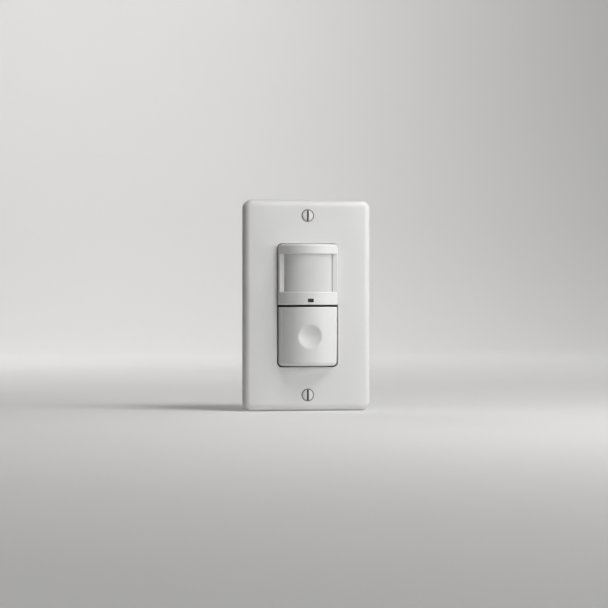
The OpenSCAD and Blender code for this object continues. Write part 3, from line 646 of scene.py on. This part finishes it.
def pad_depth(x, y):
    """Depth of the push pad's face, from the wall plane towards the room."""
    down = BUTTON_TOP - y
    d = BUTTON_CROWN_D - down * math.tan(BUTTON_LEAN) - (FRONT_R - math.sqrt(FRONT_R ** 2 - x ** 2))
    d -= dimple_drop(math.hypot(x, down - DIMPLE_DROP) / DIMPLE_R)
    d -= round_drop(down, TOP_FILLET) + round_drop(y - BUTTON_LOW, LOW_FILLET)
    return d - round_drop(pad_half_width(y) - abs(x), SIDE_FILLET)


def spaced(low, high, count, tight):
    """count + 1 values from low to high, closer together near both ends."""
    values = []
    for i in range(count + 1):
        t = i / count
        s = t - tight * math.sin(2 * math.pi * t) / (2 * math.pi)
        values.append(low + (high - low) * s)
    return values


def pad_sheet(bm, inset):
    """One side of the push pad's shell: its curved face with the dished dimple, soft edges and a skirt."""
    across = spaced(-1, 1, PAD_COLUMNS, PAD_TIGHT)
    rows = []
    for y in spaced(BUTTON_LOW + inset, BUTTON_TOP - inset, PAD_ROWS, PAD_TIGHT):
        half = pad_half_width(y, inset)
        places = [(u * half, inset - pad_depth(u * half, y), y) for u in across]
        rows.append([bm.verts.new(Vector(place) * MM) for place in places])
    for low, high in zip(rows, rows[1:]):
        for i in range(len(across) - 1):
            bm.faces.new((low[i], low[i + 1], high[i + 1], high[i]))
    border = rows[0][:] + [r[-1] for r in rows[1:]] + rows[-1][-2::-1] + [r[0] for r in rows[-2:0:-1]]
    foot = [bm.verts.new((v.co.x, -SKIRT_D * MM, v.co.z)) for v in border]
    join_loops(bm, border, foot)
    return foot


def join_loops(bm, a, b):
    """A band of faces between two loops of points."""
    for i in range(len(a)):
        j = (i + 1) % len(a)
        bm.faces.new((a[j], a[i], b[i], b[j]))


def push_pad_face():
    """The push pad's outer shell, a thin closed skin over its core."""
    bm = bmesh.new()
    join_loops(bm, pad_sheet(bm, 0.0), pad_sheet(bm, PAD_SHELL))
    bmesh.ops.recalc_face_normals(bm, faces=bm.faces)
    return bm


def push_pad_core():
    """The CAD push pad, drawn in to lie just below its shell."""
    bm = node_mesh("push_button")
    for v in bm.verts:
        y = min(max(v.co.z / MM, BUTTON_LOW + PAD_CORE_GAP), BUTTON_TOP - PAD_CORE_GAP)
        half = pad_half_width(y, PAD_CORE_GAP)
        x = min(max(v.co.x / MM, -half), half)
        d = min(-v.co.y / MM, pad_depth(x, y) - PAD_CORE_GAP)
        v.co = Vector((x, -d, y)) * MM
    weld(bm)
    return bm


pad = as_object(push_pad_face(), "push_button.face", 50.0)
finish_piece(pad, "push_button")
core = as_object(push_pad_core(), "push_button.core")
finish_piece(core, "push_button")


# Stage, light and camera


def seen_rays(tree):
    """A socket that is 1 for camera, glossy and transmission rays, which should see the pale studio."""
    path = tree.nodes.new("ShaderNodeLightPath")
    total = None
    for name in ("Is Camera Ray", "Is Glossy Ray", "Is Transmission Ray"):
        if total is None:
            total = path.outputs[name]
            continue
        node = tree.nodes.new("ShaderNodeMath")
        node.operation = "MAXIMUM"
        tree.links.new(total, node.inputs[0])
        tree.links.new(path.outputs[name], node.inputs[1])
        total = node.outputs[0]
    return total


def product(tree, a, b):
    """A socket that multiplies two sockets."""
    node = tree.nodes.new("ShaderNodeMath")
    node.operation = "MULTIPLY"
    tree.links.new(a, node.inputs[0])
    tree.links.new(b, node.inputs[1])
    return node.outputs[0]


def stage_floor():
    """One pale sheet: floor that sweeps up into a far backdrop."""
    bm = bmesh.new()
    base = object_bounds()[0][2]
    profile = [(FLOOR_FRONT_Y, base), (SWEEP_Y, base)]
    for i in range(1, SWEEP_STEPS + 1):
        a = math.radians(90 * i / SWEEP_STEPS)
        profile.append((SWEEP_Y + SWEEP_R * math.sin(a), base + SWEEP_R * (1 - math.cos(a))))
    profile.append((SWEEP_Y + SWEEP_R, BACKDROP_TOP))
    left = [bm.verts.new((-FLOOR_HALF_W, y, z)) for y, z in profile]
    right = [bm.verts.new((FLOOR_HALF_W, y, z)) for y, z in profile]
    for i in range(len(profile) - 1):
        bm.faces.new((left[i], right[i], right[i + 1], left[i + 1]))
    obj = as_object(bm, "studio_sweep", 180.0)
    for polygon in obj.data.polygons:
        polygon.use_smooth = True
    paper = surface(
        "studio_paper", (0.78, 0.775, 0.765), 0.01, (0.7, 0.85), cloud=3.0, grain=400.0, grain_mm=0.05,
    )
    shader = paper.node_tree.nodes["Principled BSDF"]
    shader.inputs["Emission Color"].default_value = (1.0, 0.995, 0.985, 1)
    tree = paper.node_tree
    coords = tree.nodes.new("ShaderNodeTexCoord")
    split = tree.nodes.new("ShaderNodeSeparateXYZ")
    tree.links.new(coords.outputs["Object"], split.inputs["Vector"])
    behind = ramp(tree, split.outputs["Y"], GLOW_START_Y, GLOW_FULL_Y, 0, 1)
    before = ramp(tree, split.outputs["Y"], GLOW_FADE_Y, GLOW_END_Y, 1, 0)
    far = product(tree, behind, before)
    glow = product(tree, seen_rays(tree), ramp(tree, far, 0, 1, PAPER_GLOW, FAR_GLOW))
    tree.links.new(glow, shader.inputs["Emission Strength"])
    obj.data.materials.append(paper)


stage_floor()


def lamp(name, place, size, watts, target=(0, 0, 0)):
    """A square soft lamp that points at its target."""
    data = bpy.data.lights.new(name, "AREA")
    data.shape = "SQUARE"
    data.size = size
    data.energy = watts
    obj = bpy.data.objects.new(name, data)
    obj.location = place
    obj.rotation_euler = (Vector(target) - Vector(place)).to_track_quat("-Z", "Y").to_euler()
    bpy.context.scene.collection.objects.link(obj)


lamp("key_light", (0.92, -0.43, 0.27), 0.12, 2.05)
lamp("side_fill", (0.9, -0.9, 0.25), 0.5, 3.7)
lamp("front_fill", (0.0, -1.4, 0.3), 0.9, 1.6)
lamp("top_light", (0.22, -0.22, 0.45), 0.22, 1.65)
lamp("back_fill", (-0.5, 0.95, 0.7), 0.5, 1.8)
lamp("backdrop_light", (0.0, 1.3, 0.9), 1.0, 6.0, (0.0, 1.95, 0.0))


def studio_world():
    """A dim world that looks as pale as the floor where it is seen."""
    world = bpy.data.worlds.new("studio")
    world.use_nodes = True
    tree = world.node_tree
    background = tree.nodes["Background"]
    background.inputs["Color"].default_value = (1.0, 1.0, 1.0, 1)
    strength = ramp(tree, seen_rays(tree), 0, 1, WORLD_LIGHT, WORLD_SEEN)
    tree.links.new(strength, background.inputs["Strength"])
    bpy.context.scene.world = world


studio_world()


def photo_camera():
    """A long lens at the photo's viewing angle, a little to the left of the plate."""
    data = bpy.data.cameras.new("camera")
    data.lens = CAMERA_LENS
    data.sensor_width = 36
    data.clip_start = 0.01
    obj = bpy.data.objects.new("camera", data)
    aim = Vector(CAMERA_AIM)
    obj.location = aim + CAMERA_DISTANCE * Vector((math.sin(CAMERA_TURN), -math.cos(CAMERA_TURN), 0))
    obj.rotation_euler = (aim - obj.location).to_track_quat("-Z", "Y").to_euler()
    bpy.context.scene.collection.objects.link(obj)
    bpy.context.scene.camera = obj


photo_camera()
bpy.context.scene.view_settings.view_transform = "Standard"
